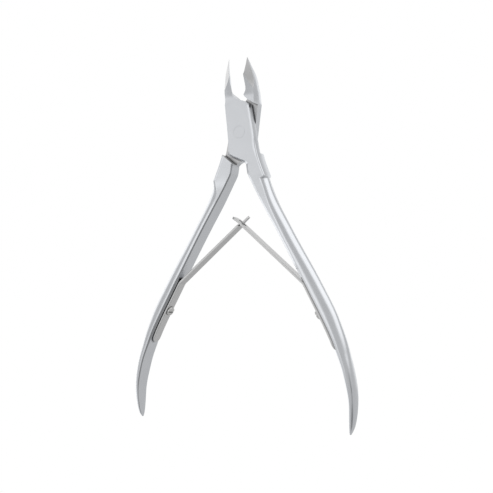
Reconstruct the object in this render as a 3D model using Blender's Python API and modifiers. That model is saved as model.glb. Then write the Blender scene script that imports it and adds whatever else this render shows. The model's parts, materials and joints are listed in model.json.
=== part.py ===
"""A cuticle nipper: two lap-jointed levers, a flush rivet and two interlocking leaf springs.

The origin is on the pivot axis, in the plane of the joint's flat back face. +Z runs up
towards the jaw tips, +X to the right, and the tool's front faces -Y. It stands open, as
its springs hold it.

Both levers share one profile, written for the closed tool, with the lever's own handle at
+X and its jaw at -X. Profiles give millimetres against the height above the pivot.
"""

import math

import bmesh
import bpy
from mathutils import Vector

MM = 0.001

# Driving dimensions, in millimetres and degrees.
JOINT_THICKNESS = 5.2
LAP_GAP = 0.06  # between the two half-thickness plates
HALF_OPENING = 7.8  # each lever turns this far from closed
HANDLE_END = -93.4
JAW_GAP = 0.03  # each cutting edge stops this far from the middle
LEAST_CHAMFER = 0.02  # along plain corners

RIVET_RADIUS = 1.4
RIVET_HEAD_RADIUS = 1.9
RIVET_HEAD_DEPTH = 0.6
FIT_GAP = 0.06  # radial, round the rivet and the screws
RIVET_STEPS = 24

LEAF_THICKNESS = 0.7
LEAF_WIDTH = 3.8  # at the seat
ARM_END_WIDTH = 3.2  # at the crossing
LEAF_GAP = 0.06  # between the leaf and the handle
SEAT_TOP = -48.9
SEAT_BOTTOM = -69.0
CROSSING_HEIGHT = -28.1  # where the two open arms pass through each other
BEND_GAP = 0.18  # each side of the leaf's bend
TONGUE_WIDTH = 0.9
TONGUE_LENGTH = 3.3
TONGUE_SHOULDER = 0.9  # the full width stops this far before the crossing
SLOT_WIDTH = 1.3
SLOT_HALF_LENGTH = 1.7
FORK_LENGTH = 3.9  # the slotted leaf past the crossing

SCREW_HEIGHT = -58.0
SCREW_RADIUS = 0.85
SCREW_HEAD_RADIUS = 1.45
SCREW_HEAD_HEIGHT = 1.0
SCREW_RIM_HEIGHT = 0.6  # where the head's dome starts
SCREW_DEPTH = 2.6  # of shank in the handle
SCREW_SLOT_WIDTH = 0.5
SCREW_SLOT_DEPTH = 0.45
SCREW_STEPS = 16

OVERRUN = 0.5  # how far a cutter runs past the face it opens

# The lever's outline: (height, x), from the tip down. Each list is one smooth stretch.
JAW_BACK = [(22.8, -0.12), (20.5, -1.25), (17.5, -2.5), (14.0, -3.45), (12.0, -3.75), (9.0, -3.9)]
JOINT_JAW_SIDE = [(9.0, -3.9), (0.0, -4.05), (-4.6, -4.4), (-6.0, -5.05)]
PLATE_BOTTOM = [(-6.0, -5.05), (-7.25, -3.3), (-8.8, -0.7), (-9.4, 0.3), (-10.2, 0.95)]
HANDLE_INNER = [
    (-10.2, 0.95), (-12.5, 1.0), (-16.0, 2.1), (-20.0, 3.65), (-32.0, 8.75), (-50.0, 15.85),
    (-69.0, 22.7), (-76.0, 24.3), (-83.0, 24.85), (-90.0, 23.95), (HANDLE_END, 23.2),
]  # fmt: skip
CUTTING_EDGE = [(22.8, -JAW_GAP), (17.3, -JAW_GAP)]
NECK_HOLLOW = [(17.3, -JAW_GAP), (15.2, -0.45), (13.3, -0.66), (11.6, -0.3)]
PLATE_TOP = [(11.6, -0.3), (10.4, 0.75), (9.2, 2.8), (8.0, 4.3)]
JOINT_HANDLE_SIDE = [(8.0, 4.3), (0.0, 4.75), (-5.0, 4.95), (-8.0, 5.25), (-16.0, 7.15)]
HANDLE_OUTER = [
    (-16.0, 7.15), (-20.0, 8.1), (-32.0, 12.65), (-50.0, 20.35), (-60.0, 24.05),
    (-70.0, 26.15), (-80.0, 26.85), (-87.0, 26.0), (-91.0, 24.9), (HANDLE_END, 23.6),
]  # fmt: skip

# Depths from the tool's middle plane (front negative), and the front facet's width.
FRONT = [
    (22.8, -3.8), (20.0, -4.5), (17.8, -4.8), (15.8, -4.3), (13.3, -3.3), (11.0, -2.65),
    (10.0, -2.6), (-16.0, -2.6), (-24.0, -2.9), (-76.0, -2.9), (-85.0, -2.45), (-90.5, -1.7),
    (-92.5, -1.0), (HANDLE_END, -0.3),
]  # fmt: skip
JAW_SHOULDER_FRONT = [(22.8, -3.7), (20.5, -3.35), (17.5, -2.7), (14.0, -2.4), (10.0, -2.6)]
JAW_REAR = [(22.8, -3.5), (20.5, -2.3), (17.5, -0.3), (14.0, 0.9), (12.0, 1.8), (9.5, 2.6)]
JAW_REAR_THICKNESS = [(22.8, 0.05), (17.5, 0.5), (14.0, 0.8), (11.6, 2.9), (10.5, 3.5)]
FACET = [(-16.0, 5.05), (-20.8, 0.9), (-60.0, 0.9), (HANDLE_END, 0.3)]
INNER_CHAMFER = [(-11.0, LEAST_CHAMFER), (-18.0, 0.55), (-76.0, 0.55), (HANDLE_END, 0.1)]

# The half-thickness recess: its upper and lower shoulders, as (x, height).
UPPER_SHOULDER = [(-7.0, 7.9), (-3.2, 9.4), (-1.6, 10.1), (-0.3, 11.0), (3.0, 15.0)]
LOWER_SHOULDER = [(7.0, -6.4), (4.75, -7.6), (1.9, -9.3), (-7.0, -14.7)]

JAW_BASE = 9.5  # below this the section is the joint's plain rectangle
ARC_POINTS = 7  # spans along the handle's rounded side
LEAST_BULGE = 0.02  # of the rounded side, where it begins
STATION_STEP = 1.5  # longest gap between two sections
SEAT_SPANS = 7  # along the leaf's seat

STEEL = (0.78, 0.79, 0.80, 1.0)
SPRING_STEEL = (0.70, 0.71, 0.71, 1.0)
SCREW_STEEL = (0.62, 0.63, 0.64, 1.0)

MIDDLE = -JOINT_THICKNESS / 2  # the y of the middle plane between the two plates


# ---------------------------------------------------------------- curves through knots
def knot_slopes(knots):
    """Slopes at the knots that never overshoot them, by Fritsch and Carlson's rule."""
    steps = [b[0] - a[0] for a, b in zip(knots, knots[1:])]
    chords = [(b[1] - a[1]) / (b[0] - a[0]) for a, b in zip(knots, knots[1:])]
    slopes = [chords[0]]
    for i in range(1, len(chords)):
        before, after = chords[i - 1], chords[i]
        if before * after <= 0:
            slopes.append(0.0)
            continue
        w1 = 2 * steps[i] + steps[i - 1]
        w2 = steps[i] + 2 * steps[i - 1]
        slopes.append((w1 + w2) / (w1 / before + w2 / after))
    return slopes + [chords[-1]]


def smooth(knots, height):
    """The value at a height on the smooth curve through (height, value) knots."""
    height = max(min(height, knots[0][0]), knots[-1][0])
    slopes = knot_slopes(knots)
    for i, ((h0, v0), (h1, v1)) in enumerate(zip(knots, knots[1:])):
        if height >= h1:
            break
    span = h1 - h0
    t = (height - h0) / span
    return (
        v0 * (1 + 2 * t) * (1 - t) ** 2
        + slopes[i] * span * t * (1 - t) ** 2
        + v1 * t * t * (3 - 2 * t)
        + slopes[i + 1] * span * t * t * (t - 1)
    )


def along(pieces, height):
    """The value at a height on an outline made of several smooth stretches."""
    for knots in pieces:
        if height >= knots[-1][0]:
            return smooth(knots, height)
    return smooth(pieces[-1], height)


JAW_SIDE = [JAW_BACK, JOINT_JAW_SIDE, PLATE_BOTTOM, HANDLE_INNER]
HANDLE_SIDE = [CUTTING_EDGE, NECK_HOLLOW, PLATE_TOP, JOINT_HANDLE_SIDE, HANDLE_OUTER]


def handle_face(height):
    """x of the handle's flat inner face, where the leaf spring is seated."""
    return smooth(HANDLE_INNER, height)


# ---------------------------------------------------------------- the lever
def round_side(front, rear, bulge, count):
    """Points down a side that bulges along x as half an ellipse."""
    middle = (front + rear) / 2
    half = (rear - front) / 2
    points = []
    for i in range(count):
        turn = math.pi * i / count
        points.append(middle - half * math.cos(turn) + Vector((bulge * math.sin(turn), 0)))
    return points


def jaw_section(height):
    """The jaw's wedge across one height: its front slopes back from the cutting edge."""
    left, right = along(JAW_SIDE, height), along(HANDLE_SIDE, height)
    shoulder, rear = smooth(JAW_SHOULDER_FRONT, height), smooth(JAW_REAR, height)
    cutting_edge = Vector((right, smooth(FRONT, height)))
    inner_rear = Vector((min(right, left + smooth(JAW_REAR_THICKNESS, height)), rear))
    ease = LEAST_CHAMFER
    front_corner = [Vector((left, shoulder + ease)), Vector((left + ease, shoulder))]
    rear_corner = [Vector((left + ease, rear)), Vector((left, rear - ease))]
    return front_corner + round_side(cutting_edge, inner_rear, 0.0, ARC_POINTS) + [inner_rear] + rear_corner


def body_section(height):
    """The joint's box or the handle: chamfered inner side, flat facets, rounded outer side."""
    left, right = along(JAW_SIDE, height), along(HANDLE_SIDE, height)
    front = smooth(FRONT, height)
    facet, bulge, chamfer = right - left, 0.0, LEAST_CHAMFER
    if height < FACET[0][0]:
        facet = min(facet - LEAST_BULGE, smooth(FACET, height))
        bulge = right - left - facet
    if height < INNER_CHAMFER[0][0]:
        chamfer = min(smooth(INNER_CHAMFER, height), facet / 2, -front / 3)
    side = round_side(Vector((left + facet, front)), Vector((left + facet, -front)), bulge, ARC_POINTS)
    front_corner = [Vector((left, front + chamfer)), Vector((left + chamfer, front))]
    rear_corner = [Vector((left + chamfer, -front)), Vector((left, -front - chamfer))]
    return front_corner + side + [Vector((left + facet, -front))] + rear_corner


def station_heights():
    """The knots' heights, with more between them where they are far apart."""
    knots = {h for piece in JAW_SIDE + HANDLE_SIDE for h, _ in piece}
    knots |= {h for h, _ in FRONT + FACET + INNER_CHAMFER} | {JAW_BASE}
    ordered = sorted(knots, reverse=True)
    heights = []
    for upper, lower in zip(ordered, ordered[1:]):
        count = math.ceil((upper - lower) / STATION_STEP)
        heights += [upper + (lower - upper) * i / count for i in range(count)]
    return heights + [ordered[-1]]


def loft(name, rings):
    """A closed mesh through rings of points, each ring with the same number of them."""
    bm = bmesh.new()
    loops = [[bm.verts.new(p) for p in ring] for ring in rings]
    count = len(rings[0])
    for upper, lower in zip(loops, loops[1:]):
        for i in range(count):
            j = (i + 1) % count
            bm.faces.new((upper[i], upper[j], lower[j], lower[i]))
    bm.faces.new(loops[0])
    bm.faces.new(loops[-1][::-1])
    bmesh.ops.recalc_face_normals(bm, faces=bm.faces)
    bmesh.ops.triangulate(bm, faces=bm.faces)
    mesh = bpy.data.meshes.new(name)
    bm.to_mesh(mesh)
    bm.free()
    return mesh


def lever_mesh(name, side):
    """The lever at full thickness, closed. side is 1 with its handle at +X, -1 at -X."""
    rings = []
    for height in station_heights():
        section = jaw_section(height) if height > JAW_BASE else body_section(height)
        rings.append([Vector((side * x, depth, height)) * MM for x, depth in section])
    return loft(name, rings)


def prism_mesh(name, outline, low, high):
    """An (x, height) outline swept in depth from low to high."""
    rings = [[Vector((x, depth, z)) * MM for x, z in outline] for depth in (low, high)]
    return loft(name, rings)


def recess_mesh(name, side):
    """What is cut away so that the other lever's plate fits: all of the half behind this plate."""
    outline = [(side * x, z) for x, z in UPPER_SHOULDER + LOWER_SHOULDER]
    inner = -side * LAP_GAP / 2
    outer = side * (JOINT_THICKNESS / 2 + 2 * OVERRUN)
    return prism_mesh(name, outline, min(inner, outer), max(inner, outer))


def make_lever(name, side, parts, cutters):
    """One lever on its own empty at the pivot, turned open from the closed profile."""
    pivot = bpy.data.objects.new(name + "_pivot", None)
    parts.objects.link(pivot)
    pivot.location = (0, MIDDLE * MM, 0)
    pivot.rotation_euler.y = -side * math.radians(HALF_OPENING)
    lever = add_object(name, lever_mesh(name, side), parts, pivot)
    recess = add_object(name + "_recess", recess_mesh(name + "_recess", side), cutters, pivot)
    cut(lever, recess)
    rivet_hole = add_object(name + "_rivet_hole", rivet_mesh(FIT_GAP, OVERRUN), cutters, pivot)
    cut(lever, rivet_hole)
    lever.data.materials.append(metal("forged_steel", STEEL, 0.28))
    return lever, pivot


# ---------------------------------------------------------------- the rivet
def turned_mesh(name, profile):
    """A solid of revolution about Y, from (radius, y) points at rising y."""
    rings = []
    for radius, y in profile:
        ring = []
        for i in range(RIVET_STEPS):
            turn = 2 * math.pi * i / RIVET_STEPS
            ring.append(Vector((radius * math.cos(turn), y, radius * math.sin(turn))) * MM)
        rings.append(ring)
    return loft(name, rings)


def rivet_mesh(gap, overrun):
    """The rivet with coned ends. A gap makes it the hole's cutter, which runs past both faces."""
    half = JOINT_THICKNESS / 2
    neck = half - RIVET_HEAD_DEPTH
    slope = (RIVET_HEAD_RADIUS - RIVET_RADIUS) / RIVET_HEAD_DEPTH
    end_radius = RIVET_HEAD_RADIUS + gap + slope * overrun
    profile = [
        (end_radius, -half - overrun),
        (RIVET_RADIUS + gap, -neck),
        (RIVET_RADIUS + gap, neck),
        (end_radius, half + overrun),
    ]
    return turned_mesh("rivet", profile)


# ---------------------------------------------------------------- the leaf springs
def seat_line(height):
    """The middle of the leaf's thickness, along the handle's inner face."""
    return handle_face(height) - LEAF_GAP - LEAF_THICKNESS / 2


def seat_mesh(name, side):
    """The part of the leaf that lies on the handle, following its curve."""
    rings = []
    top = SEAT_TOP - BEND_GAP
    for i in range(SEAT_SPANS + 1):
        height = top + (SEAT_BOTTOM - top) * i / SEAT_SPANS
        middle = seat_line(height)
        ring = []
        for x, depth in ((-1, -1), (1, -1), (1, 1), (-1, 1)):
            across = side * (middle + x * LEAF_THICKNESS / 2)
            ring.append(Vector((across, depth * LEAF_WIDTH / 2, height)) * MM)
        rings.append(ring)
    return loft(name, rings)


def open_position(x, height, side):
    """Where a point of the closed profile stands in the open tool, as (x, z)."""
    turn = math.radians(HALF_OPENING)
    z = height * math.cos(turn) + x * math.sin(turn)
    return side * (x * math.cos(turn) - height * math.sin(turn)), z


def arm_outline(forked):
    """The arm seen flat: length along x from the bend, width along y, as (outer, slot)."""
    bend_x, bend_z = open_position(seat_line(SEAT_TOP), SEAT_TOP, 1)
    reach = math.hypot(bend_x, CROSSING_HEIGHT - bend_z)
    half = ARM_END_WIDTH / 2
    root = [(BEND_GAP, -LEAF_WIDTH / 2), (BEND_GAP, LEAF_WIDTH / 2)]
    if not forked:
        stop = reach - TONGUE_SHOULDER
        tongue = TONGUE_WIDTH / 2
        tip = reach + TONGUE_LENGTH
        end = [
            (stop, half), (stop, tongue), (tip, tongue), (tip, -tongue), (stop, -tongue), (stop, -half),
        ]  # fmt: skip
        return root + end, None
    tip = reach + FORK_LENGTH
    slot = SLOT_WIDTH / 2
    near, far = reach - SLOT_HALF_LENGTH, reach + SLOT_HALF_LENGTH
    end = [(tip, half), (tip, -half)]
    return root + end, [(near, -slot), (far, -slot), (far, slot), (near, slot)]


def flat_curve(name, outlines, thickness):
    """A flat outline, with any holes as further outlines, extruded to a thickness."""
    curve = bpy.data.curves.new(name, "CURVE")
    curve.dimensions = "2D"
    curve.fill_mode = "BOTH"
    curve.extrude = thickness * MM / 2
    for outline in outlines:
        spline = curve.splines.new("POLY")
        spline.points.add(len(outline) - 1)
        for point, (x, y) in zip(spline.points, outline):
            point.co = (x * MM, y * MM, 0, 1)
        spline.use_cyclic_u = True
    return curve


def make_arm(name, side, parts):
    """The free part of the leaf, from its bend to past the crossing, with its origin on the bend."""
    outer, slot = arm_outline(forked=side > 0)
    outlines = [outer] if slot is None else [outer, slot]
    arm = add_object(name, flat_curve(name, outlines, LEAF_THICKNESS), parts)
    bend_x, bend_z = open_position(seat_line(SEAT_TOP), SEAT_TOP, side)
    arm.location = Vector((bend_x, MIDDLE, bend_z)) * MM
    climb = math.atan2(CROSSING_HEIGHT - bend_z, abs(bend_x))
    arm.rotation_euler.y = -climb if side < 0 else climb - math.pi
    arm.data.materials.append(metal("spring_steel", SPRING_STEEL, 0.32))
    return arm


def make_seat(name, side, parts, cutters, pivot):
    """The seated part of the leaf, with the hole for its screw."""
    seat = add_object(name, seat_mesh(name, side), parts, pivot)
    cut(seat, make_screw_hole(name + "_screw_hole", side, cutters, pivot))
    seat.data.materials.append(metal("spring_steel", SPRING_STEEL, 0.32))
    return seat


# ---------------------------------------------------------------- the spring screws
def place_on_handle(obj, side):
    """Sets the object's own +Z along the handle face's normal, at the screw's height."""
    above, below = handle_face(SCREW_HEIGHT + SCREW_RADIUS), handle_face(SCREW_HEIGHT - SCREW_RADIUS)
    lean = math.atan2(below - above, 2 * SCREW_RADIUS)
    obj.location = Vector((side * handle_face(SCREW_HEIGHT), 0, SCREW_HEIGHT)) * MM
    obj.rotation_euler.y = -side * (math.pi / 2 + lean)


def add_turned(name, profile, side, collection, pivot):
    """A solid of revolution on the handle's face, from (radius, z) points, by a Screw modifier."""
    bm = bmesh.new()
    verts = [bm.verts.new(Vector((radius, 0, z)) * MM) for radius, z in profile]
    for upper, lower in zip(verts, verts[1:]):
        bm.edges.new((upper, lower))
    mesh = bpy.data.meshes.new(name)
    bm.to_mesh(mesh)
    bm.free()
    obj = add_object(name, mesh, collection, pivot)
    screw = obj.modifiers.new("turn", "SCREW")
    screw.steps = screw.render_steps = SCREW_STEPS
    screw.use_merge_vertices = True
    screw.merge_threshold = 0.000001
    place_on_handle(obj, side)
    return obj


def make_screw_hole(name, side, cutters, pivot):
    """The cutter for the screw's hole, through the leaf and into the handle."""
    radius = SCREW_RADIUS + FIT_GAP
    top, bottom = LEAF_THICKNESS + LEAF_GAP + OVERRUN, -SCREW_DEPTH - FIT_GAP
    profile = [(0, top), (radius, top), (radius, bottom), (0, bottom)]
    return add_turned(name, profile, side, cutters, pivot)


def make_screw(name, side, parts, cutters, pivot):
    """A slotted screw with a low domed head, standing on the leaf."""
    seat = LEAF_THICKNESS + 2 * LEAF_GAP
    dome = []
    for degrees in (0, 30, 60, 90):
        turn = math.radians(degrees)
        rise = (SCREW_HEAD_HEIGHT - SCREW_RIM_HEIGHT) * math.cos(turn)
        dome.append((SCREW_HEAD_RADIUS * math.sin(turn), seat + SCREW_RIM_HEIGHT + rise))
    shank = [
        (SCREW_HEAD_RADIUS, seat), (SCREW_RADIUS, seat), (SCREW_RADIUS, -SCREW_DEPTH), (0, -SCREW_DEPTH),
    ]  # fmt: skip
    screw = add_turned(name, dome + shank, side, parts, pivot)
    floor = seat + SCREW_HEAD_HEIGHT - SCREW_SLOT_DEPTH
    top = floor + SCREW_SLOT_DEPTH + OVERRUN
    half_width, reach = SCREW_SLOT_WIDTH / 2, SCREW_HEAD_RADIUS + OVERRUN
    outline = [(-half_width, floor), (half_width, floor), (half_width, top), (-half_width, top)]
    slot = add_object(name + "_slot", prism_mesh(name + "_slot", outline, -reach, reach), cutters, pivot)
    place_on_handle(slot, side)
    cut(screw, slot)
    screw.data.materials.append(metal("screw_steel", SCREW_STEEL, 0.35))
    return screw


# ---------------------------------------------------------------- objects and materials
def metal(name, colour, roughness):
    """A steel's Principled BSDF, made once and shared."""
    found = bpy.data.materials.get(name)
    if found:
        return found
    material = bpy.data.materials.new(name)
    material.use_nodes = True
    shader = material.node_tree.nodes["Principled BSDF"]
    shader.inputs["Base Color"].default_value = colour
    shader.inputs["Metallic"].default_value = 1.0
    shader.inputs["Roughness"].default_value = roughness
    return material


def add_object(name, data, collection, parent=None):
    obj = bpy.data.objects.new(name, data)
    collection.objects.link(obj)
    obj.parent = parent
    return obj


def cut(target, cutter):
    cutter.hide_render = True
    cutter.display_type = "WIRE"
    boolean = target.modifiers.new(cutter.name, "BOOLEAN")
    boolean.operation = "DIFFERENCE"
    boolean.object = cutter


def new_collection(name):
    collection = bpy.data.collections.new(name)
    bpy.context.scene.collection.children.link(collection)
    return collection


def main():
    for obj in list(bpy.data.objects):
        bpy.data.objects.remove(obj)
    parts = new_collection("cuticle_nipper")
    cutters = new_collection("cutters")
    cutters.hide_render = True

    for name, side, leaf in (("front_lever", 1, "right_spring"), ("rear_lever", -1, "left_spring")):
        lever, pivot = make_lever(name, side, parts, cutters)
        cut(lever, make_screw_hole(name + "_screw_hole", side, cutters, pivot))
        make_seat(leaf + "_seat", side, parts, cutters, pivot)
        make_arm(leaf + "_arm", side, parts)
        make_screw(leaf + "_screw", side, parts, cutters, pivot)

    rivet = add_object("pivot_rivet", rivet_mesh(0.0, 0.0), parts)
    rivet.location = (0, MIDDLE * MM, 0)
    rivet.rotation_euler.y = -math.radians(HALF_OPENING)
    rivet.data.materials.append(metal("forged_steel", STEEL, 0.28))


main()
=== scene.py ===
"""How the cuticle nipper looks: satin steel levers, leaf springs, screws and a soft white studio.

Every piece is modelled again in fine detail in place of its CAD node. Profiles are for the
closed tool, in millimetres from the pivot, with the lever's own handle at +X and its jaw at -X.
"""

import json
import math

import bmesh
import bpy
from mathutils import Matrix, Vector


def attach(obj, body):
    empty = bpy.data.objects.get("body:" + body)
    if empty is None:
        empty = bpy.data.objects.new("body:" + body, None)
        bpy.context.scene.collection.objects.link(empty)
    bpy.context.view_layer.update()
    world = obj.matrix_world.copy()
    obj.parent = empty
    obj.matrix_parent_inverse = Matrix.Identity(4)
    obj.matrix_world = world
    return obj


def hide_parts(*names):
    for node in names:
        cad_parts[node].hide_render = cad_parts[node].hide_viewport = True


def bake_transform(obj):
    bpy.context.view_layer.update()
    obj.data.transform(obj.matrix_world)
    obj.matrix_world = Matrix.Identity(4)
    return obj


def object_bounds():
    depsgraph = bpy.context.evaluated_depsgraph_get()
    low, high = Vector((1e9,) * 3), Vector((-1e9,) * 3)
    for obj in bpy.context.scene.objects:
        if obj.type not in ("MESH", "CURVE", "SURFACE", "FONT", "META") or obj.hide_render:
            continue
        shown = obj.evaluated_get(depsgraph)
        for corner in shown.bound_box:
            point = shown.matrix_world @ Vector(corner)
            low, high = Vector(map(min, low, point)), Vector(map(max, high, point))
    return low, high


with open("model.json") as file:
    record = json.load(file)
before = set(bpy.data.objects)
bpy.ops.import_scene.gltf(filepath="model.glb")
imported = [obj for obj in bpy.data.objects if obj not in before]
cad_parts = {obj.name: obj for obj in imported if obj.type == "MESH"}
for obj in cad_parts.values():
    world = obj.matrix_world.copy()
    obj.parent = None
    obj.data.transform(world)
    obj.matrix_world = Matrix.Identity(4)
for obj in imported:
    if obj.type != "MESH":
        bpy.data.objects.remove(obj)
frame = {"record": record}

MM = 0.001
CAD_BOUNDS = [list(corner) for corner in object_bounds()]
JOINTS = {joint["name"]: joint for joint in frame["record"]["behaviour"]["joints"]}
PIVOT = Vector(JOINTS["nipper_pivot"]["pos_m"])
HALF_OPENING = math.radians(JOINTS["nipper_pivot"]["range_deg"][1] / 2)
BENDS = {1: Vector(JOINTS["right_leaf_bend"]["pos_m"]), -1: Vector(JOINTS["left_leaf_bend"]["pos_m"])}

# Dimensions, in millimetres and degrees.
JOINT_THICKNESS = 5.2
LAP_GAP = 0.04
TIP_HEIGHT = 22.8
HANDLE_END = -93.4
BLADE_GAP = 0.03  # from each cutting edge to the middle of the closed tool
EDGE = 0.12  # the small chamfer along plain corners
JAW_BASE = 9.5  # above this the section is the jaw's wedge
OVERRUN = 0.5  # how far a cutter runs past the face it opens
CUTTER_RISE = 2.0  # of the cutters at a screw, over the handle's face or the slot's floor

RIVET_RADIUS = 1.4
RIVET_HEAD_RADIUS = 1.9
RIVET_HEAD_DEPTH = 0.6
RIVET_GAP = 0.01  # between the rivet and its hole
RIVET_STEPS = 64

LEAF_THICKNESS = 0.7
LEAF_GAP = 0.05
LEAF_CHAMFER = 0.1
LEAF_BLUNTNESS = 0.12  # added to the distance from the leaf's ends, so they stay blunt
LEAF_LEAST_WIDTH = 0.2  # at the ends, as a share of the full width
SEAT_BOTTOM = -68.95
SEAT_STEP = 0.6
CROSSING_HEIGHT = -28.1
BEND_STEPS = 8
ARM_STEPS = 60
LEAF_SHADOW_TOP = -47.0  # the painted shadow of the leaf, on the chamfer beside it, starts here
TONGUE_HALF_WIDTH = 0.45
TONGUE_SHOULDER = 0.85  # the full width stops this far before the crossing
SLOT_HALF_WIDTH = 0.65
SLOT_HALF_LENGTH = 1.62
SLOT_END_SPANS = 12  # round each end of the slot
SLOT_CUTTER_REACH = 1.5  # each side of the middle of the leaf's thickness
TIP_DROOP = 0.05  # of the slotted end, per square millimetre past TIP_STRAIGHT
TIP_STRAIGHT = 0.5

# The leaves differ a little: 1 is the right one, with the slot, and -1 the left one.
LEAF_HALF_WIDTH = {1: 1.9, -1: 1.8}
LEAF_NARROWING = {1: 0.3, -1: 0.2}  # of the half width, along the arm
LEAF_NARROWING_LENGTH = 28.0
LEAF_PAST_CROSSING = {1: 4.0, -1: 3.2}
LEAF_BEND_RADIUS = {1: 3.0, -1: 1.6}

SCREW_HEIGHT = -58.0
SCREW_RADIUS = 0.85
SCREW_HEAD_RADIUS = 1.45
SCREW_HEAD_HEIGHT = 1.0
SCREW_DOME_RISE = 0.4
SCREW_DOME_TURN = 84.0  # degrees of the dome's curve, from the rim
SCREW_DOME_SPANS = 6
SCREW_RIM_CHAMFER = 0.05
SCREW_SEAT_GAP = 0.01  # under the head
SCREW_DEPTH = 2.6
SCREW_SLOT_WIDTH = 0.5
SCREW_SLOT_DEPTH = 0.45
SCREW_STEPS = 40
HOLE_GAP = 0.03  # between the screw's shank and its hole
HOLE_PAST_SCREW = 0.2  # how much deeper the hole is than the shank
HOLE_STEPS = 32

# The outline, as (height, x) from the tip down; each list is one smooth stretch.
JAW_BACK = [
    (TIP_HEIGHT, -0.12), (20.5, -1.25), (17.5, -2.5), (14.0, -3.45), (12.0, -3.75), (9.0, -3.9),
]  # fmt: skip
JOINT_JAW_SIDE = [(9.0, -3.9), (0.0, -4.05), (-4.6, -4.4), (-6.0, -5.05)]
PLATE_BOTTOM = [(-6.0, -5.05), (-7.25, -3.3), (-8.8, -0.7), (-9.4, 0.3), (-10.2, 0.95)]
HANDLE_INNER = [
    (-10.2, 0.95), (-12.5, 1.0), (-16.0, 2.1), (-20.0, 3.65), (-32.0, 8.75), (-50.0, 15.85),
    (-69.0, 22.7), (-76.0, 24.3), (-83.0, 24.85), (-90.0, 23.95), (HANDLE_END, 23.2),
]  # fmt: skip
CUTTING_EDGE = [(TIP_HEIGHT, -BLADE_GAP), (17.3, -BLADE_GAP)]
NECK_CORNER = {1: -0.75, -1: 0.0}  # x where the neck meets the plate, on the front and rear lever
JOINT_HANDLE_SIDE = [(8.0, 4.3), (0.0, 4.75), (-5.0, 4.95), (-8.0, 5.25), (-16.0, 7.15)]
HANDLE_OUTER = [
    (-16.0, 7.15), (-20.0, 8.1), (-32.0, 12.65), (-50.0, 20.35), (-60.0, 24.05),
    (-70.0, 26.15), (-80.0, 26.8), (-87.0, 26.0), (-91.0, 24.9), (HANDLE_END, 23.6),
]  # fmt: skip
JAW_SIDE = [JAW_BACK, JOINT_JAW_SIDE, PLATE_BOTTOM, HANDLE_INNER]

# Depths from the middle plane, front negative, against the height.
FRONT = [
    (TIP_HEIGHT, -3.8), (20.0, -4.5), (17.8, -4.8), (15.8, -4.3), (13.3, -3.3), (11.0, -2.65),
    (10.0, -2.6), (-16.0, -2.6), (-24.0, -2.9), (-76.0, -2.9), (-85.0, -2.45), (-90.5, -1.7),
    (-92.5, -1.0), (HANDLE_END, -0.3),
]  # fmt: skip
JAW_FRONT_FALL = [(TIP_HEIGHT, 0.3), (17.0, 0.38), (15.8, 0.31), (13.3, 0.11), (11.0, 0.0)]
JAW_REAR = [(TIP_HEIGHT, -3.5), (20.5, -2.3), (17.5, -0.3), (14.0, 0.9), (12.0, 1.8), (9.5, 2.6)]
JAW_REAR_THICKNESS = [(TIP_HEIGHT, 0.05), (17.5, 0.5), (14.0, 0.8), (11.6, 2.9), (10.5, 3.5)]
JAW_HOLLOW = [(TIP_HEIGHT, 0.0), (17.5, 0.35), (14.0, 0.6), (11.0, 0.1), (9.5, 0.0)]
JAW_BULGE = [(TIP_HEIGHT, 0.0), (17.5, 0.15), (14.0, 0.35), (11.0, 0.3), (9.0, 0.0)]

# The wheel's facet on the jaw's front: its depth at the cutting edge, and how it falls away outwards.
GRIND = [
    (23.5, -3.55), (22.8, -3.75), (20.0, -4.43), (17.8, -4.78), (16.0, -4.97), (14.2, -5.4), (12.6, -6.0),
]  # fmt: skip
GRIND_SLOPE = 0.78  # depth per millimetre outwards
GRIND_SECTION = ((-2.0, 0.0), (6.0, 0.0), (6.0, -8.0), (-2.0, -4.0))  # the cutter's (outwards, ahead)
GRIND_SPANS = 24

# Chamfers and facets, against the height.
INNER_EDGE = [
    (-4.6, 0.05), (-6.0, 0.5), (-10.0, 0.5), (-11.5, 0.36), (-44.0, 0.4), (-50.0, 0.62), (-64.0, 0.62),
    (-72.0, 0.35), (-80.0, 0.3), (HANDLE_END, 0.15),
]  # fmt: skip
INNER_EDGE_REACH = {  # its reach in x for each unit of depth; the front lever's is the flatter one
    1: [(-5.0, 1.0), (-6.0, 1.9), (-40.0, 1.9), (-47.0, 1.0)],
    -1: [(-5.0, 1.0), (-47.0, 1.0)],
}
OUTER_EDGE = [(-2.5, EDGE), (-4.5, 0.5), (-15.0, 0.5), (-15.6, 0.3)]
OUTER_EDGE_REACH = 0.8  # in x for each unit of depth
FACET = {  # width of the handle's flat front and back, which narrows as the outer side rounds
    1: [
        (-14.8, 5.2), (-15.4, 3.3), (-17.5, 3.1), (-21.5, 2.4), (-27.0, 1.6), (-34.0, 1.1), (-60.0, 1.1),
        (HANDLE_END, 0.4),
    ],
    -1: [(-15.4, 5.2), (-17.4, 3.3), (-19.2, 1.8), (-22.0, 1.1), (-60.0, 1.1), (HANDLE_END, 0.4)],
}  # fmt: skip
FACET_TILT = [(-14.0, 0.0), (-18.0, 0.06), (HANDLE_END, 0.06)]  # its outer side lies deeper
FACET_LEAST = 1.4  # width of the facet, in widths of the inner chamfer
CORNER_GROWTH = 1.4  # depth of the rounded corners for each unit of their reach, where they begin
CREASE_TURN = math.radians(17.0)  # the rounded side leaves its facet at a slight crease

# The half-thickness recess's shoulders, as (x, height).
UPPER_SHOULDER = [(-7.0, 7.9), (-3.2, 9.4), (-1.6, 10.1), (-0.3, 11.0), (3.0, 15.0)]
LOWER_SHOULDER = [(7.0, -6.4), (4.75, -7.6), (1.9, -9.3), (-7.0, -14.7)]


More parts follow.
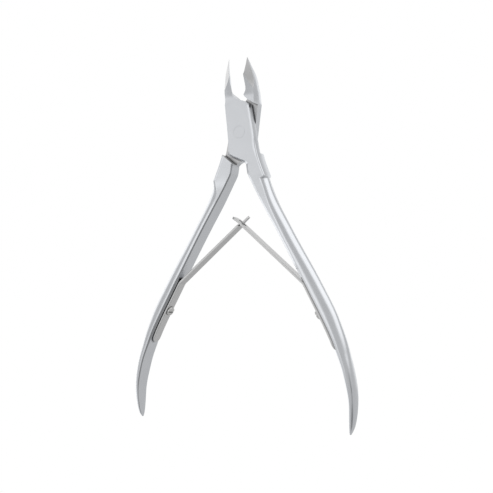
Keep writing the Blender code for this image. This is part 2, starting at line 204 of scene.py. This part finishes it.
# ---------------------------------------------------------------- curves through knots
def knot_slopes(knots):
    """Slopes at the knots that never overshoot them, by Fritsch and Carlson's rule."""
    steps = [b[0] - a[0] for a, b in zip(knots, knots[1:])]
    chords = [(b[1] - a[1]) / (b[0] - a[0]) for a, b in zip(knots, knots[1:])]
    slopes = [chords[0]]
    for i in range(1, len(chords)):
        before, after = chords[i - 1], chords[i]
        if before * after <= 0:
            slopes.append(0.0)
            continue
        w1 = 2 * steps[i] + steps[i - 1]
        w2 = steps[i] + 2 * steps[i - 1]
        slopes.append((w1 + w2) / (w1 / before + w2 / after))
    return slopes + [chords[-1]]


def smooth(knots, height):
    """The value at a height on the smooth curve through (height, value) knots."""
    height = max(min(height, knots[0][0]), knots[-1][0])
    slopes = knot_slopes(knots)
    for i, ((h0, v0), (h1, v1)) in enumerate(zip(knots, knots[1:])):
        if height >= h1:
            break
    span = h1 - h0
    t = (height - h0) / span
    return (
        v0 * (1 + 2 * t) * (1 - t) ** 2
        + slopes[i] * span * t * (1 - t) ** 2
        + v1 * t * t * (3 - 2 * t)
        + slopes[i + 1] * span * t * t * (t - 1)
    )


def along(pieces, height):
    """The value at a height on an outline made of several smooth stretches."""
    for knots in pieces:
        if height >= knots[-1][0]:
            return smooth(knots, height)
    return smooth(pieces[-1], height)


# ---------------------------------------------------------------- the lever's section
FRONT_SPANS, ROUND_SPANS, REAR_SPANS, JAW_SPANS = 8, 14, 3, 6
REAR_BULGE = 0.6  # how far the jaw's rear corner is set in, in units of the bulge in front
SIDE_BULGE = 0.8  # how far the side between the two corners is bowed out, in the same units


def run(start, end, count, bulge=0.0):
    """Points from start up to, not including, end, bowed along x by bulge at the middle."""
    points = []
    for i in range(count):
        t = i / count
        points.append(start.lerp(end, t) + Vector((4 * bulge * t * (1 - t), 0)))
    return points


def rounded_run(front, rear, reach, corner, count):
    """Points down a side whose two corners are parts of ellipses of the given reach and depth."""
    points = []
    crease_sin, crease_cos = math.sin(CREASE_TURN), math.cos(CREASE_TURN)
    for i in range(count):
        turn = CREASE_TURN + (math.pi - 2 * CREASE_TURN) * i / count
        out = reach * (math.sin(turn) - crease_sin) / (1 - crease_sin)
        inset = corner * (1 - abs(math.cos(turn)) / crease_cos)
        depth = front.y + inset if turn < math.pi / 2 else rear.y - inset
        points.append(Vector((front.x + out, depth)))
    return points


def handle_side(side):
    """The outline on the handle's side; the front lever's neck is cut a little deeper."""
    corner = NECK_CORNER[side]
    neck_hollow = [(17.3, -BLADE_GAP), (15.2, -0.45), (13.3, -0.66), (11.6, corner)]
    plate_top = [(11.6, corner), (10.4, corner + 1.1), (9.2, 2.8), (8.0, 4.3)]
    return [CUTTING_EDGE, neck_hollow, plate_top, JOINT_HANDLE_SIDE, HANDLE_OUTER]


def jaw_section(height, side):
    """The wedge: front face, hollow inner flank, back and rounded outer side."""
    left, right = along(JAW_SIDE, height), along(handle_side(side), height)
    front, rear = smooth(FRONT, height), smooth(JAW_REAR, height)
    bulge = smooth(JAW_BULGE, height)
    fall = smooth(JAW_FRONT_FALL, height)
    inner = min(right, left + smooth(JAW_REAR_THICKNESS, height))
    a = Vector((left + bulge, front + fall * (right - left - bulge)))
    b = Vector((right, front))
    c = Vector((inner, rear))
    d = Vector((left + bulge * REAR_BULGE, rear))
    return (
        run(a, b, FRONT_SPANS)
        + run(b, c, ROUND_SPANS, -smooth(JAW_HOLLOW, height))
        + run(c, d, REAR_SPANS)
        + run(d, a, JAW_SPANS, -bulge * SIDE_BULGE)
    )


def body_section(height, side):
    """The joint's box, becoming the handle: flat inner side, narrow facets, rounded outer side."""
    left, right = along(JAW_SIDE, height), along(handle_side(side), height)
    front = smooth(FRONT, height)
    # Near the handle's end the chamfer shrinks with the section.
    edge = min(smooth(INNER_EDGE, height), (right - left) / 5, -front / 3)
    inner = min(edge * smooth(INNER_EDGE_REACH[side], height), (right - left) / 3)
    corner = smooth(OUTER_EDGE, height)
    facet = right - left - corner * OUTER_EDGE_REACH
    if height < FACET[side][0][0]:
        facet = min(facet, smooth(FACET[side], height))
        corner = min(-front, CORNER_GROWTH * (right - left - facet))
    facet = max(facet, inner * FACET_LEAST)
    outer = front + (facet - inner) * smooth(FACET_TILT, height)
    return (
        run(Vector((left + inner, front)), Vector((left + facet, outer)), FRONT_SPANS)
        + rounded_run(
            Vector((left + facet, outer)), Vector((left + facet, -outer)),
            right - left - facet, corner, ROUND_SPANS,
        )
        + run(Vector((left + facet, -outer)), Vector((left + inner, -front)), REAR_SPANS)
        + run(Vector((left, -front - edge)), Vector((left, front + edge)), JAW_SPANS - 1)
        + [Vector((left, front + edge))]
    )  # fmt: skip


STATION_STEPS = [  # (top, bottom, step)
    (TIP_HEIGHT, JAW_BASE, 0.25),
    (JAW_BASE, -22.0, 0.5),
    (-22.0, -84.0, 1.2),
    (-84.0, HANDLE_END, 0.4),
]
LEAST_STEP = 0.08


def station_heights():
    """Section heights: every knot of the outline, with steps between that suit the curves there."""
    heights = {h for piece in JAW_SIDE + handle_side(1) + [FACET[1]] for h, _ in piece} | {JAW_BASE}
    for top, bottom, step in STATION_STEPS:
        count = math.ceil((top - bottom) / step)
        heights |= {top + (bottom - top) * i / count for i in range(count + 1)}
    ordered = sorted(heights, reverse=True)
    kept = [ordered[0]]
    for height in ordered[1:]:
        if kept[-1] - height > LEAST_STEP:
            kept.append(height)
    kept[-1] = HANDLE_END
    return kept


# ---------------------------------------------------------------- meshes
def loft(name, rings, marked=()):
    """A closed mesh through rings of points; (ring, span) pairs in marked take the second material."""
    bm = bmesh.new()
    loops = [[bm.verts.new(p) for p in ring] for ring in rings]
    count = len(rings[0])
    for row, (upper, lower) in enumerate(zip(loops, loops[1:])):
        for i in range(count):
            j = (i + 1) % count
            face = bm.faces.new((upper[i], upper[j], lower[j], lower[i]))
            face.material_index = int((row, i) in marked)
    bm.faces.new(loops[0])
    bm.faces.new(loops[-1][::-1])
    bmesh.ops.recalc_face_normals(bm, faces=bm.faces)
    bmesh.ops.triangulate(bm, faces=bm.faces)
    mesh = bpy.data.meshes.new(name)
    bm.to_mesh(mesh)
    bm.free()
    return mesh


def placed(side, x, depth, z):
    """A point of the closed profile, in the row frame with the lever turned open."""
    turn = HALF_OPENING
    across = x * math.cos(turn) - z * math.sin(turn)
    up = z * math.cos(turn) + x * math.sin(turn)
    return PIVOT + Vector((side * across, depth, up)) * MM


def lever_mesh(name, side):
    """The whole forging; the chamfer beside the right handle's leaf is marked for the painted shadow of
    the leaf.
    """
    rings = []
    marked = set()
    for height in station_heights():
        section = (jaw_section if height > JAW_BASE else body_section)(height, side)
        if side > 0 and SEAT_BOTTOM < height < LEAF_SHADOW_TOP:
            marked.add((len(rings), len(section) - 1))
        rings.append([placed(side, p.x, p.y, height) for p in section])
    return loft(name, rings, marked)


def recess_mesh(name, side):
    """What is cut away behind this lever's plate, so that the other lever's plate fits."""
    rings = []
    for depth in (-side * LAP_GAP / 2, side * (JOINT_THICKNESS / 2 + 2 * OVERRUN)):
        rings.append([placed(side, x, depth, z) for x, z in UPPER_SHOULDER + LOWER_SHOULDER])
    return loft(name, rings)


def grinding_mesh(name, side):
    """What the wheel takes off the jaw's front: everything ahead of a slightly bowed facet."""
    rings = []
    top, bottom = GRIND[0][0], GRIND[-1][0]
    for i in range(GRIND_SPANS + 1):
        height = top + (bottom - top) * i / GRIND_SPANS
        ridge = smooth(GRIND, height)
        ring = []
        for outwards, ahead in GRIND_SECTION:
            depth = ridge + GRIND_SLOPE * outwards + ahead
            ring.append(placed(side, -outwards, depth, height))
        rings.append(ring)
    return loft(name, rings)


def turned_rings(profile, steps, matrix):
    """Rings of a solid of revolution about the matrix's own Z, from (radius, z) points."""
    rings = []
    for radius, z in profile:
        ring = []
        for i in range(steps):
            turn = 2 * math.pi * i / steps
            ring.append(matrix @ (Vector((radius * math.cos(turn), radius * math.sin(turn), z)) * MM))
        rings.append(ring)
    return rings


def rivet_profile(gap, overrun):
    """The rivet's (radius, height) outline; a gap and an overrun make it the hole's cutter."""
    half = JOINT_THICKNESS / 2
    neck = half - RIVET_HEAD_DEPTH
    flare = (RIVET_HEAD_RADIUS - RIVET_RADIUS) / RIVET_HEAD_DEPTH
    end_radius = RIVET_HEAD_RADIUS + gap + flare * overrun
    return [
        (end_radius, -half - overrun), (RIVET_RADIUS + gap, -neck),
        (RIVET_RADIUS + gap, neck), (end_radius, half + overrun),
    ]  # fmt: skip


def rivet_mesh(name, gap=0.0, overrun=0.0):
    """The rivet across the joint, or its hole's cutter."""
    matrix = Matrix.Translation(PIVOT) @ Matrix.Rotation(math.pi / 2, 4, "X")
    return loft(name, turned_rings(rivet_profile(gap, overrun), RIVET_STEPS, matrix))


def screw_matrix(side):
    """Own +Z out of the handle's inner face at the screw's height."""
    step = 0.5
    here = placed(side, smooth(HANDLE_INNER, SCREW_HEIGHT), 0, SCREW_HEIGHT)
    above = placed(side, smooth(HANDLE_INNER, SCREW_HEIGHT + step), 0, SCREW_HEIGHT + step)
    below = placed(side, smooth(HANDLE_INNER, SCREW_HEIGHT - step), 0, SCREW_HEIGHT - step)
    up = (above - below).normalized()
    depth = Vector((0, 1, 0))
    out = up.cross(depth) * side
    if out.x * side > 0:
        out = -out
    across = depth.cross(out)
    rotation = Matrix((across, depth, out)).transposed().to_4x4()
    return Matrix.Translation(here) @ rotation


def screw_hole_mesh(side, depth):
    """The cutter of a screw's hole, this deep under the handle's face."""
    radius = SCREW_RADIUS + HOLE_GAP
    profile = [(radius, CUTTER_RISE), (radius, -depth)]
    return loft("screw_hole", turned_rings(profile, HOLE_STEPS, screw_matrix(side)))


# ---------------------------------------------------------------- objects
SHARP_TURN = 27.0  # degrees between two faces that still shade as one
WELD = 0.002 * MM  # vertices closer than this are one


def add(name, data):
    """Puts a mesh or a camera into the scene."""
    obj = bpy.data.objects.new(name, data)
    bpy.context.scene.collection.objects.link(obj)
    return obj


def cut(target, cutter_mesh, material):
    """Takes the cutter away from the target now, and gives the cut faces the material."""
    cutter = add(cutter_mesh.name, cutter_mesh)
    cutter_mesh.materials.append(material)
    boolean = target.modifiers.new("cut", "BOOLEAN")
    boolean.operation = "DIFFERENCE"
    boolean.solver = "EXACT"
    boolean.material_mode = "TRANSFER"
    boolean.object = cutter
    bake(target)
    bpy.data.objects.remove(cutter)


def bake(obj):
    """Replaces the object's mesh with what its modifiers make of it."""
    graph = bpy.context.evaluated_depsgraph_get()
    mesh = bpy.data.meshes.new_from_object(obj.evaluated_get(graph))
    obj.modifiers.clear()
    obj.data = mesh


def shade(obj):
    """Clean mesh and smooth shading, with creases at sharp edges and where the material changes."""
    bm = bmesh.new()
    bm.from_mesh(obj.data)
    bmesh.ops.remove_doubles(bm, verts=bm.verts, dist=WELD)
    bmesh.ops.dissolve_degenerate(bm, edges=bm.edges, dist=WELD)
    bmesh.ops.triangulate(bm, faces=[face for face in bm.faces if len(face.verts) > 4])
    bmesh.ops.dissolve_degenerate(bm, edges=bm.edges, dist=WELD)
    for face in bm.faces:
        face.smooth = True
    for edge in bm.edges:
        faces = edge.link_faces
        if len(faces) != 2:
            continue
        changes = faces[0].material_index != faces[1].material_index
        edge.smooth = not changes and edge.calc_face_angle(0.0) < math.radians(SHARP_TURN)
    bm.to_mesh(obj.data)
    bm.free()


# ---------------------------------------------------------------- materials
class Nodes:
    """A short way to add and join shader nodes in one tree."""

    def __init__(self, tree):
        self.tree = tree
        tree.nodes.clear()

    def add(self, kind, settings=None, **inputs):
        """A new node; an input is a value, or another node's output to join to it."""
        node = self.tree.nodes.new("ShaderNode" + kind)
        for key, value in (settings or {}).items():
            setattr(node, key, value)
        for key, value in inputs.items():
            socket = node.inputs[key.replace("_", " ")]
            if isinstance(value, bpy.types.NodeSocket):
                self.tree.links.new(value, socket)
            else:
                socket.default_value = value
        return node

    def link(self, output, socket):
        """Joins an output to an input."""
        self.tree.links.new(output, socket)


CLOUD_SIZE = 4.0  # millimetres
CLOUD_TINTS = (0.96, 1.03)  # the steel's colour in the darkest and in the lightest cloud
SPECK_SIZE = 1 / 3  # millimetres
SPECK_STRENGTH = 0.2  # how much the specks vary the strokes
ROUGHNESS_SPREAD = 0.06
STROKE_STRENGTH = 0.12
STROKE_DEPTH = 0.01  # millimetres
SOFT_CORNER = 0.08  # millimetres, the radius that sharp corners seem to have
# The near-black grey that crevices darken towards: painted shade where parts lie close together.
CREVICE_SHADE_GREY = 0.02
CREVICE_SHADE_POWER = 2.2  # how steeply crevices darken


def grey(value):
    """An opaque grey."""
    return (value, value, value, 1.0)


def remap(nodes, value, low, high):
    """Takes 0..1 to low..high."""
    node = nodes.add("MapRange")
    nodes.link(value, node.inputs["Value"])
    node.inputs["To Min"].default_value = low
    node.inputs["To Max"].default_value = high
    return node.outputs["Result"]


def steel(name, colour, roughness, grain, tilt=0.0, reach=0.7):
    """Satin steel: a brushed grain, cloudy sheen, softened corners and painted shade darkening the colour
    in crevices.

    grain gives how many strokes there are per millimetre along x, y and z, turned by tilt about y;
    reach is how far the painted shade of a crevice spreads over its sides, in millimetres.
    """
    material = bpy.data.materials.new(name)
    material.use_nodes = True
    nodes = Nodes(material.node_tree)
    place = nodes.add("TexCoord").outputs["Object"]
    mapping = nodes.add("Mapping", Vector=place)
    mapping.inputs["Rotation"].default_value = (0, math.radians(tilt), 0)
    mapping.inputs["Scale"].default_value = [g / MM for g in grain]
    brushed = nodes.add("TexNoise", Vector=mapping.outputs["Vector"], Scale=1.0, Detail=3.0)
    clouds = nodes.add("TexNoise", Vector=place, Scale=1 / (CLOUD_SIZE * MM), Detail=4.0, Roughness=0.6)
    specks = nodes.add("TexNoise", Vector=place, Scale=1 / (SPECK_SIZE * MM), Detail=2.0)

    blend = nodes.add("Mix", {"data_type": "RGBA"})
    nodes.link(clouds.outputs["Fac"], blend.inputs["Factor"])
    blend.inputs["A"].default_value = [c * CLOUD_TINTS[0] for c in colour] + [1.0]
    blend.inputs["B"].default_value = [c * CLOUD_TINTS[1] for c in colour] + [1.0]
    worn = nodes.add("Math", {"operation": "MULTIPLY"})
    nodes.link(brushed.outputs["Fac"], worn.inputs[0])
    nodes.link(remap(nodes, specks.outputs["Fac"], 1 - SPECK_STRENGTH, 1 + SPECK_STRENGTH), worn.inputs[1])
    smoothest, roughest = roughness - ROUGHNESS_SPREAD, roughness + ROUGHNESS_SPREAD
    rough = remap(nodes, worn.outputs["Value"], smoothest, roughest)

    corners = nodes.add("Bevel", {"samples": 6}, Radius=SOFT_CORNER * MM)
    bump = nodes.add("Bump", Strength=STROKE_STRENGTH, Distance=STROKE_DEPTH * MM)
    nodes.link(worn.outputs["Value"], bump.inputs["Height"])
    nodes.link(corners.outputs["Normal"], bump.inputs["Normal"])

    # Painted shade: ambient occlusion darkens the steel's colour in crevices and between close parts.
    crevice = nodes.add("AmbientOcclusion", {"samples": 8}, Distance=reach * MM)
    crevice_shade = nodes.add("Math", {"operation": "POWER"})
    nodes.link(crevice.outputs["AO"], crevice_shade.inputs[0])
    crevice_shade.inputs[1].default_value = CREVICE_SHADE_POWER
    shaded_colour = nodes.add("Mix", {"data_type": "RGBA"})
    nodes.link(crevice_shade.outputs["Value"], shaded_colour.inputs["Factor"])
    shaded_colour.inputs["A"].default_value = grey(CREVICE_SHADE_GREY)
    nodes.link(blend.outputs["Result"], shaded_colour.inputs["B"])

    surface = nodes.add("BsdfPrincipled", Metallic=1.0)
    nodes.link(shaded_colour.outputs["Result"], surface.inputs["Base Color"])
    nodes.link(rough, surface.inputs["Roughness"])
    nodes.link(bump.outputs["Normal"], surface.inputs["Normal"])
    output = nodes.add("OutputMaterial")
    nodes.link(surface.outputs["BSDF"], output.inputs["Surface"])
    return material


FORGED = steel("forged_steel", (0.772, 0.79, 0.82), 0.22, (6.0, 6.0, 0.6))
# The recess's steel: rougher than the forged faces, with a darker grey that is partly its duller finish
# and partly painted shade in the recess.
SHADED_RECESS_STEEL = steel("shaded_recess_steel", (0.68, 0.68, 0.685), 0.34, (5.0, 5.0, 5.0), reach=0.65)
# Painted shadow: near-black steel on the right handle's inner chamfer beside its leaf, where the leaf's
# shade falls.
LEAF_SHADOW_STEEL = steel("painted_leaf_shadow_steel", (0.24, 0.24, 0.245), 0.38, (5.0, 5.0, 1.0))
GROUND = steel("ground_steel", (0.74, 0.74, 0.745), 0.33, (0.8, 9.0, 9.0), tilt=25.0)
LEAF = steel("leaf_steel", (0.73, 0.73, 0.73), 0.30, (4.0, 4.0, 1.0), reach=0.3)
SCREW = steel("screw_steel", (0.72, 0.72, 0.71), 0.30, (5.0, 5.0, 5.0), reach=0.3)


# ---------------------------------------------------------------- the pieces
def make_lever(name, side):
    """One forging, with its ground facet, its half of the lap and the rivet's and screw's holes."""
    lever = add(name + "_forging", lever_mesh(name, side))
    lever.data.materials.append(FORGED)
    lever.data.materials.append(LEAF_SHADOW_STEEL)
    cut(lever, grinding_mesh("grinding", side), GROUND)
    cut(lever, recess_mesh("recess", side), SHADED_RECESS_STEEL)
    cut(lever, rivet_mesh("rivet_hole", RIVET_GAP, OVERRUN), FORGED)
    cut(lever, screw_hole_mesh(side, SCREW_DEPTH + HOLE_PAST_SCREW), FORGED)
    shade(lever)
    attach(lever, name)
    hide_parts(name)


def make_rivet():
    """The rivet, flush with both faces of the joint."""
    rivet = add("rivet", rivet_mesh("rivet"))
    rivet.data.materials.append(FORGED)
    shade(rivet)
    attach(rivet, "front_lever")
    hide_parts("pivot_rivet")


def crossing_point(side):
    """Where the two leaves cross, in the middle of the tool."""
    return Vector((0, BENDS[side].y, CROSSING_HEIGHT * MM))


def arm_direction(side):
    """From the leaf's bend up to the crossing."""
    return (crossing_point(side) - BENDS[side]).normalized()


def seat_points(side):
    """The middle of the leaf's thickness along its seat, from its end up to just below the bend."""
    points = []
    height = SEAT_BOTTOM
    while True:
        x = smooth(HANDLE_INNER, height) - LEAF_GAP - LEAF_THICKNESS / 2
        point = placed(side, x, 0, height)
        if point.z > BENDS[side].z - SEAT_STEP * MM:
            return points
        points.append(point)
        height += SEAT_STEP


def leaf_path(side):
    """The middle of the leaf's thickness, from the seat's end up to the tip, in the row frame."""
    points = seat_points(side)
    bend, rise = BENDS[side], arm_direction(side)
    approach = (bend - points[-1]).normalized()
    tangent = LEAF_BEND_RADIUS[side] * math.tan(approach.angle(rise) / 2) * MM
    first, last = bend - approach * tangent, bend + rise * tangent
    for i in range(BEND_STEPS + 1):
        t = i / BEND_STEPS
        points.append(first.lerp(bend, t).lerp(bend.lerp(last, t), t))
    reach = (crossing_point(side) - bend).length
    tip = reach + LEAF_PAST_CROSSING[side] * MM
    for i in range(1, ARM_STEPS + 1):
        s = tangent + (tip - tangent) * i / ARM_STEPS
        point = bend + rise * s
        if side > 0:
            past = max(0.0, s - reach - TIP_STRAIGHT * MM)
            point = point + Vector((0, 0, -1)) * past * past * TIP_DROOP / MM
        points.append(point)
    return points


def leaf_half_width(side, from_bend, from_end, to_crossing):
    """Half width along the leaf: tapered, rounded at both ends, with a tongue on the left leaf."""
    narrowed = max(0.0, min(1.0, from_bend / LEAF_NARROWING_LENGTH))
    half = LEAF_HALF_WIDTH[side] - LEAF_NARROWING[side] * narrowed
    if side < 0 and to_crossing < TONGUE_SHOULDER:
        half = TONGUE_HALF_WIDTH
    rounding = min(1.0, from_end / half)
    return half * max(LEAF_LEAST_WIDTH, math.sqrt(1 - (1 - rounding) ** 2))


def leaf_mesh(name, side):
    """The whole leaf as one bent strip with chamfered edges."""
    points = leaf_path(side)
    bend = BENDS[side]
    reach = (crossing_point(side) - bend).length
    lengths = [0.0]
    for a, b in zip(points, points[1:]):
        lengths.append(lengths[-1] + (b - a).length)
    nearest = min(range(len(points)), key=lambda i: (points[i] - bend).length)
    depth = Vector((0, 1, 0))
    thick, c = LEAF_THICKNESS / 2, LEAF_CHAMFER
    rings = []
    for i, point in enumerate(points):
        before, after = points[max(0, i - 1)], points[min(len(points) - 1, i + 1)]
        out = (after - before).normalized().cross(depth)
        from_bend = (lengths[i] - lengths[nearest]) / MM
        from_end = min(lengths[i], lengths[-1] - lengths[i]) / MM + LEAF_BLUNTNESS
        half = leaf_half_width(side, from_bend, from_end, reach / MM - from_bend)
        outline = [
            (half - c, -thick), (half, -thick + c), (half, thick - c), (half - c, thick),
            (-half + c, thick), (-half, thick - c), (-half, -thick + c), (-half + c, -thick),
        ]  # fmt: skip
        rings.append([point + (depth * w + out * t) * MM for w, t in outline])
    return loft(name, rings)


def slot_mesh(side):
    """The cutter of the round-ended slot through the right leaf at the crossing."""
    crossing, forward = crossing_point(side), arm_direction(side)
    depth = Vector((0, 1, 0))
    out = forward.cross(depth)
    end_centre = SLOT_HALF_LENGTH - SLOT_HALF_WIDTH
    rings = []
    for level in (-SLOT_CUTTER_REACH, SLOT_CUTTER_REACH):
        ring = []
        for centre, first in ((end_centre, -90), (-end_centre, 90)):
            for i in range(SLOT_END_SPANS + 1):
                turn = math.radians(first + 180 * i / SLOT_END_SPANS)
                along_leaf = centre + SLOT_HALF_WIDTH * math.cos(turn)
                across = SLOT_HALF_WIDTH * math.sin(turn)
                ring.append(crossing + (forward * along_leaf + depth * across + out * level) * MM)
        rings.append(ring)
    return loft("slot", rings)


def make_leaf(label, side):
    """One leaf spring, one strip shaped along its lever below the bend and along its own arm above it."""
    leaf = add(label + "_leaf_spring", leaf_mesh(label, side))
    leaf.data.materials.append(LEAF)
    if side > 0:
        cut(leaf, slot_mesh(side), LEAF)
    cut(leaf, screw_hole_mesh(side, OVERRUN), LEAF)
    shade(leaf)
    bend = BENDS[side]
    down = (seat_points(side)[0] - bend).normalized()
    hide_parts(label + "_spring_seat", label + "_spring_arm")
    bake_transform(leaf)


def screw_profile(seat):
    """The screw's (radius, height) outline from the shank's end up over the dome."""
    under_head = seat + SCREW_SEAT_GAP
    profile = [
        (SCREW_RADIUS, -SCREW_DEPTH),
        (SCREW_RADIUS, under_head),
        (SCREW_HEAD_RADIUS - SCREW_RIM_CHAMFER, under_head),
        (SCREW_HEAD_RADIUS, under_head + SCREW_RIM_CHAMFER),
    ]
    for i in range(SCREW_DOME_SPANS):
        turn = math.radians(90 - SCREW_DOME_TURN * i / SCREW_DOME_SPANS)
        height = seat + SCREW_HEAD_HEIGHT + SCREW_DOME_RISE * (math.cos(turn) - 1)
        profile.append((SCREW_HEAD_RADIUS * math.sin(turn), height))
    return profile


def screw_slot_mesh(seat, matrix):
    """The cutter of the slot across the screw's head."""
    floor = seat + SCREW_HEAD_HEIGHT - SCREW_SLOT_DEPTH
    top = floor + CUTTER_RISE
    half, reach = SCREW_SLOT_WIDTH / 2, SCREW_HEAD_RADIUS + OVERRUN
    rings = []
    for y in (-reach, reach):
        ring = []
        for x, z in ((-half, floor), (half, floor), (half, top), (-half, top)):
            ring.append(matrix @ (Vector((x, y, z)) * MM))
        rings.append(ring)
    return loft("screw_slot", rings)


def make_screw(label, side, lever):
    """A slotted screw with a low domed head, standing on the leaf."""
    seat = LEAF_THICKNESS + LEAF_GAP
    matrix = screw_matrix(side)
    name = label + "_screw"
    screw = add(name, loft(name, turned_rings(screw_profile(seat), SCREW_STEPS, matrix)))
    screw.data.materials.append(SCREW)
    cut(screw, screw_slot_mesh(seat, matrix), SCREW)
    shade(screw)
    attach(screw, lever)
    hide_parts(label + "_spring_screw")


# ---------------------------------------------------------------- the studio
def direction(azimuth, elevation):
    """A unit vector; azimuth 0 points at the tool's front (-Y), 90 to its right (+X)."""
    a, e = math.radians(azimuth), math.radians(elevation)
    return (math.sin(a) * math.cos(e), -math.cos(a) * math.cos(e), math.sin(e))


BASE_LIGHT = 0.56
SOFTBOXES = [  # azimuth, elevation, half width and softness in degrees, then brightness
    (-135, -5, 27, 12, 1.16),
    (-108, 26, 19, 5, 1.14),
    (-112, -13, 14, 6, 1.12),
    (-82, -15, 9, 4, 1.30),
    (-67, -29, 8, 4, 1.25),
    (-102, -38, 16, 8, 1.12),
    (93, 49, 28, 10, 1.20),
    (-28, 6, 15, 8, 0.74),
    (-37, 6, 6, 2.5, 1.05),
    (-46, 9, 5, 2, 1.25),
    (-5, 13, 12, 5, 1.10),
    (172, 12, 15, 8, 1.05),
    (-172, 25, 14, 8, 0.80),
    (180, -46, 16, 10, 0.46),
    (62, -32, 20, 10, 0.24),
    (64, 2, 8, 4, 0.24),
]


def make_world():
    """Soft boxes and screens round the tool, seen in its reflections; the backdrop is white."""
    world = bpy.data.worlds.new("studio")
    bpy.context.scene.world = world
    world.use_nodes = True
    nodes = Nodes(world.node_tree)
    ray = nodes.add("TexCoord").outputs["Generated"]
    light = None
    for azimuth, elevation, width, softness, brightness in SOFTBOXES:
        facing = nodes.add("VectorMath", {"operation": "DOT_PRODUCT"})
        nodes.link(ray, facing.inputs[0])
        facing.inputs[1].default_value = direction(azimuth, elevation)
        mask = nodes.add("MapRange", {"interpolation_type": "SMOOTHSTEP"})
        nodes.link(facing.outputs["Value"], mask.inputs["Value"])
        mask.inputs["From Min"].default_value = math.cos(math.radians(width + softness))
        mask.inputs["From Max"].default_value = math.cos(math.radians(max(0.0, width - softness)))
        mix = nodes.add("Mix", {"data_type": "FLOAT"})
        nodes.link(mask.outputs["Result"], mix.inputs["Factor"])
        mix.inputs["B"].default_value = brightness
        if light is None:
            mix.inputs["A"].default_value = BASE_LIGHT
        else:
            nodes.link(light, mix.inputs["A"])
        light = mix.outputs["Result"]
    seen = nodes.add("LightPath").outputs["Is Camera Ray"]
    backdrop = nodes.add("Mix", {"data_type": "FLOAT"})
    nodes.link(seen, backdrop.inputs["Factor"])
    nodes.link(light, backdrop.inputs["A"])
    backdrop.inputs["B"].default_value = 1.0
    background = nodes.add("Background", Color=grey(1.0))
    nodes.link(backdrop.outputs["Result"], background.inputs["Strength"])
    output = nodes.add("OutputWorld")
    nodes.link(background.outputs["Background"], output.inputs["Surface"])


FLOOR_DROP = 0.5  # millimetres under the tool
FLOOR_REACH = 2.0  # metres each way
PAPER_GRAIN = 400.0  # per metre
PAPER_GLOW = (0.998, 1.004)


def make_floor():
    """A plain white sweep under the tool, out of its reflections."""
    level = CAD_BOUNDS[0][2] - FLOOR_DROP * MM
    corners = ((-1, -1), (1, -1), (1, 1), (-1, 1))
    mesh = bpy.data.meshes.new("floor")
    mesh.from_pydata([(x * FLOOR_REACH, y * FLOOR_REACH, level) for x, y in corners], [], [(0, 1, 2, 3)])
    floor = add("floor", mesh)
    material = bpy.data.materials.new("white_sweep")
    material.use_nodes = True
    nodes = Nodes(material.node_tree)
    paper = nodes.add("TexNoise", Vector=nodes.add("TexCoord").outputs["Object"], Scale=PAPER_GRAIN)
    glow = nodes.add("Emission")
    nodes.link(remap(nodes, paper.outputs["Fac"], *PAPER_GLOW), glow.inputs["Strength"])
    output = nodes.add("OutputMaterial")
    nodes.link(glow.outputs["Emission"], output.inputs["Surface"])
    mesh.materials.append(material)
    floor.visible_glossy = False
    floor.visible_diffuse = False


CAMERA_AZIMUTH = 28.0
CAMERA_ELEVATION = -2.85
CAMERA_ROLL = 0.55
CAMERA_DISTANCE = 269.2  # millimetres
CAMERA_AIM = (1.6, 0.0, -35.09)  # millimetres from the pivot
LENS = 64.13


def make_camera():
    """Right of the front, a little below the tool's middle, and slightly rolled."""
    azimuth, roll = math.radians(CAMERA_AZIMUTH), math.radians(CAMERA_ROLL)
    back = Vector(direction(CAMERA_AZIMUTH, CAMERA_ELEVATION))
    right = Vector((math.cos(azimuth), math.sin(azimuth), 0))
    up = back.cross(right)
    rolled_right = right * math.cos(roll) + up * math.sin(roll)
    rolled_up = up * math.cos(roll) - right * math.sin(roll)
    rotation = Matrix((rolled_right, rolled_up, back)).transposed().to_4x4()
    place = PIVOT + (Vector(CAMERA_AIM) + back * CAMERA_DISTANCE) * MM
    camera = add("camera", bpy.data.cameras.new("camera"))
    camera.matrix_world = Matrix.Translation(place) @ rotation
    camera.data.lens = LENS
    camera.data.sensor_width = 36.0
    camera.data.clip_start = 0.01
    bpy.context.scene.camera = camera


for lever_name, leaf_label, lever_side in (("front_lever", "right", 1), ("rear_lever", "left", -1)):
    make_lever(lever_name, lever_side)
    make_leaf(leaf_label, lever_side)
    make_screw(leaf_label, lever_side, lever_name)
make_rivet()
make_world()
make_floor()
make_camera()
bpy.context.scene.view_settings.view_transform = "Standard"
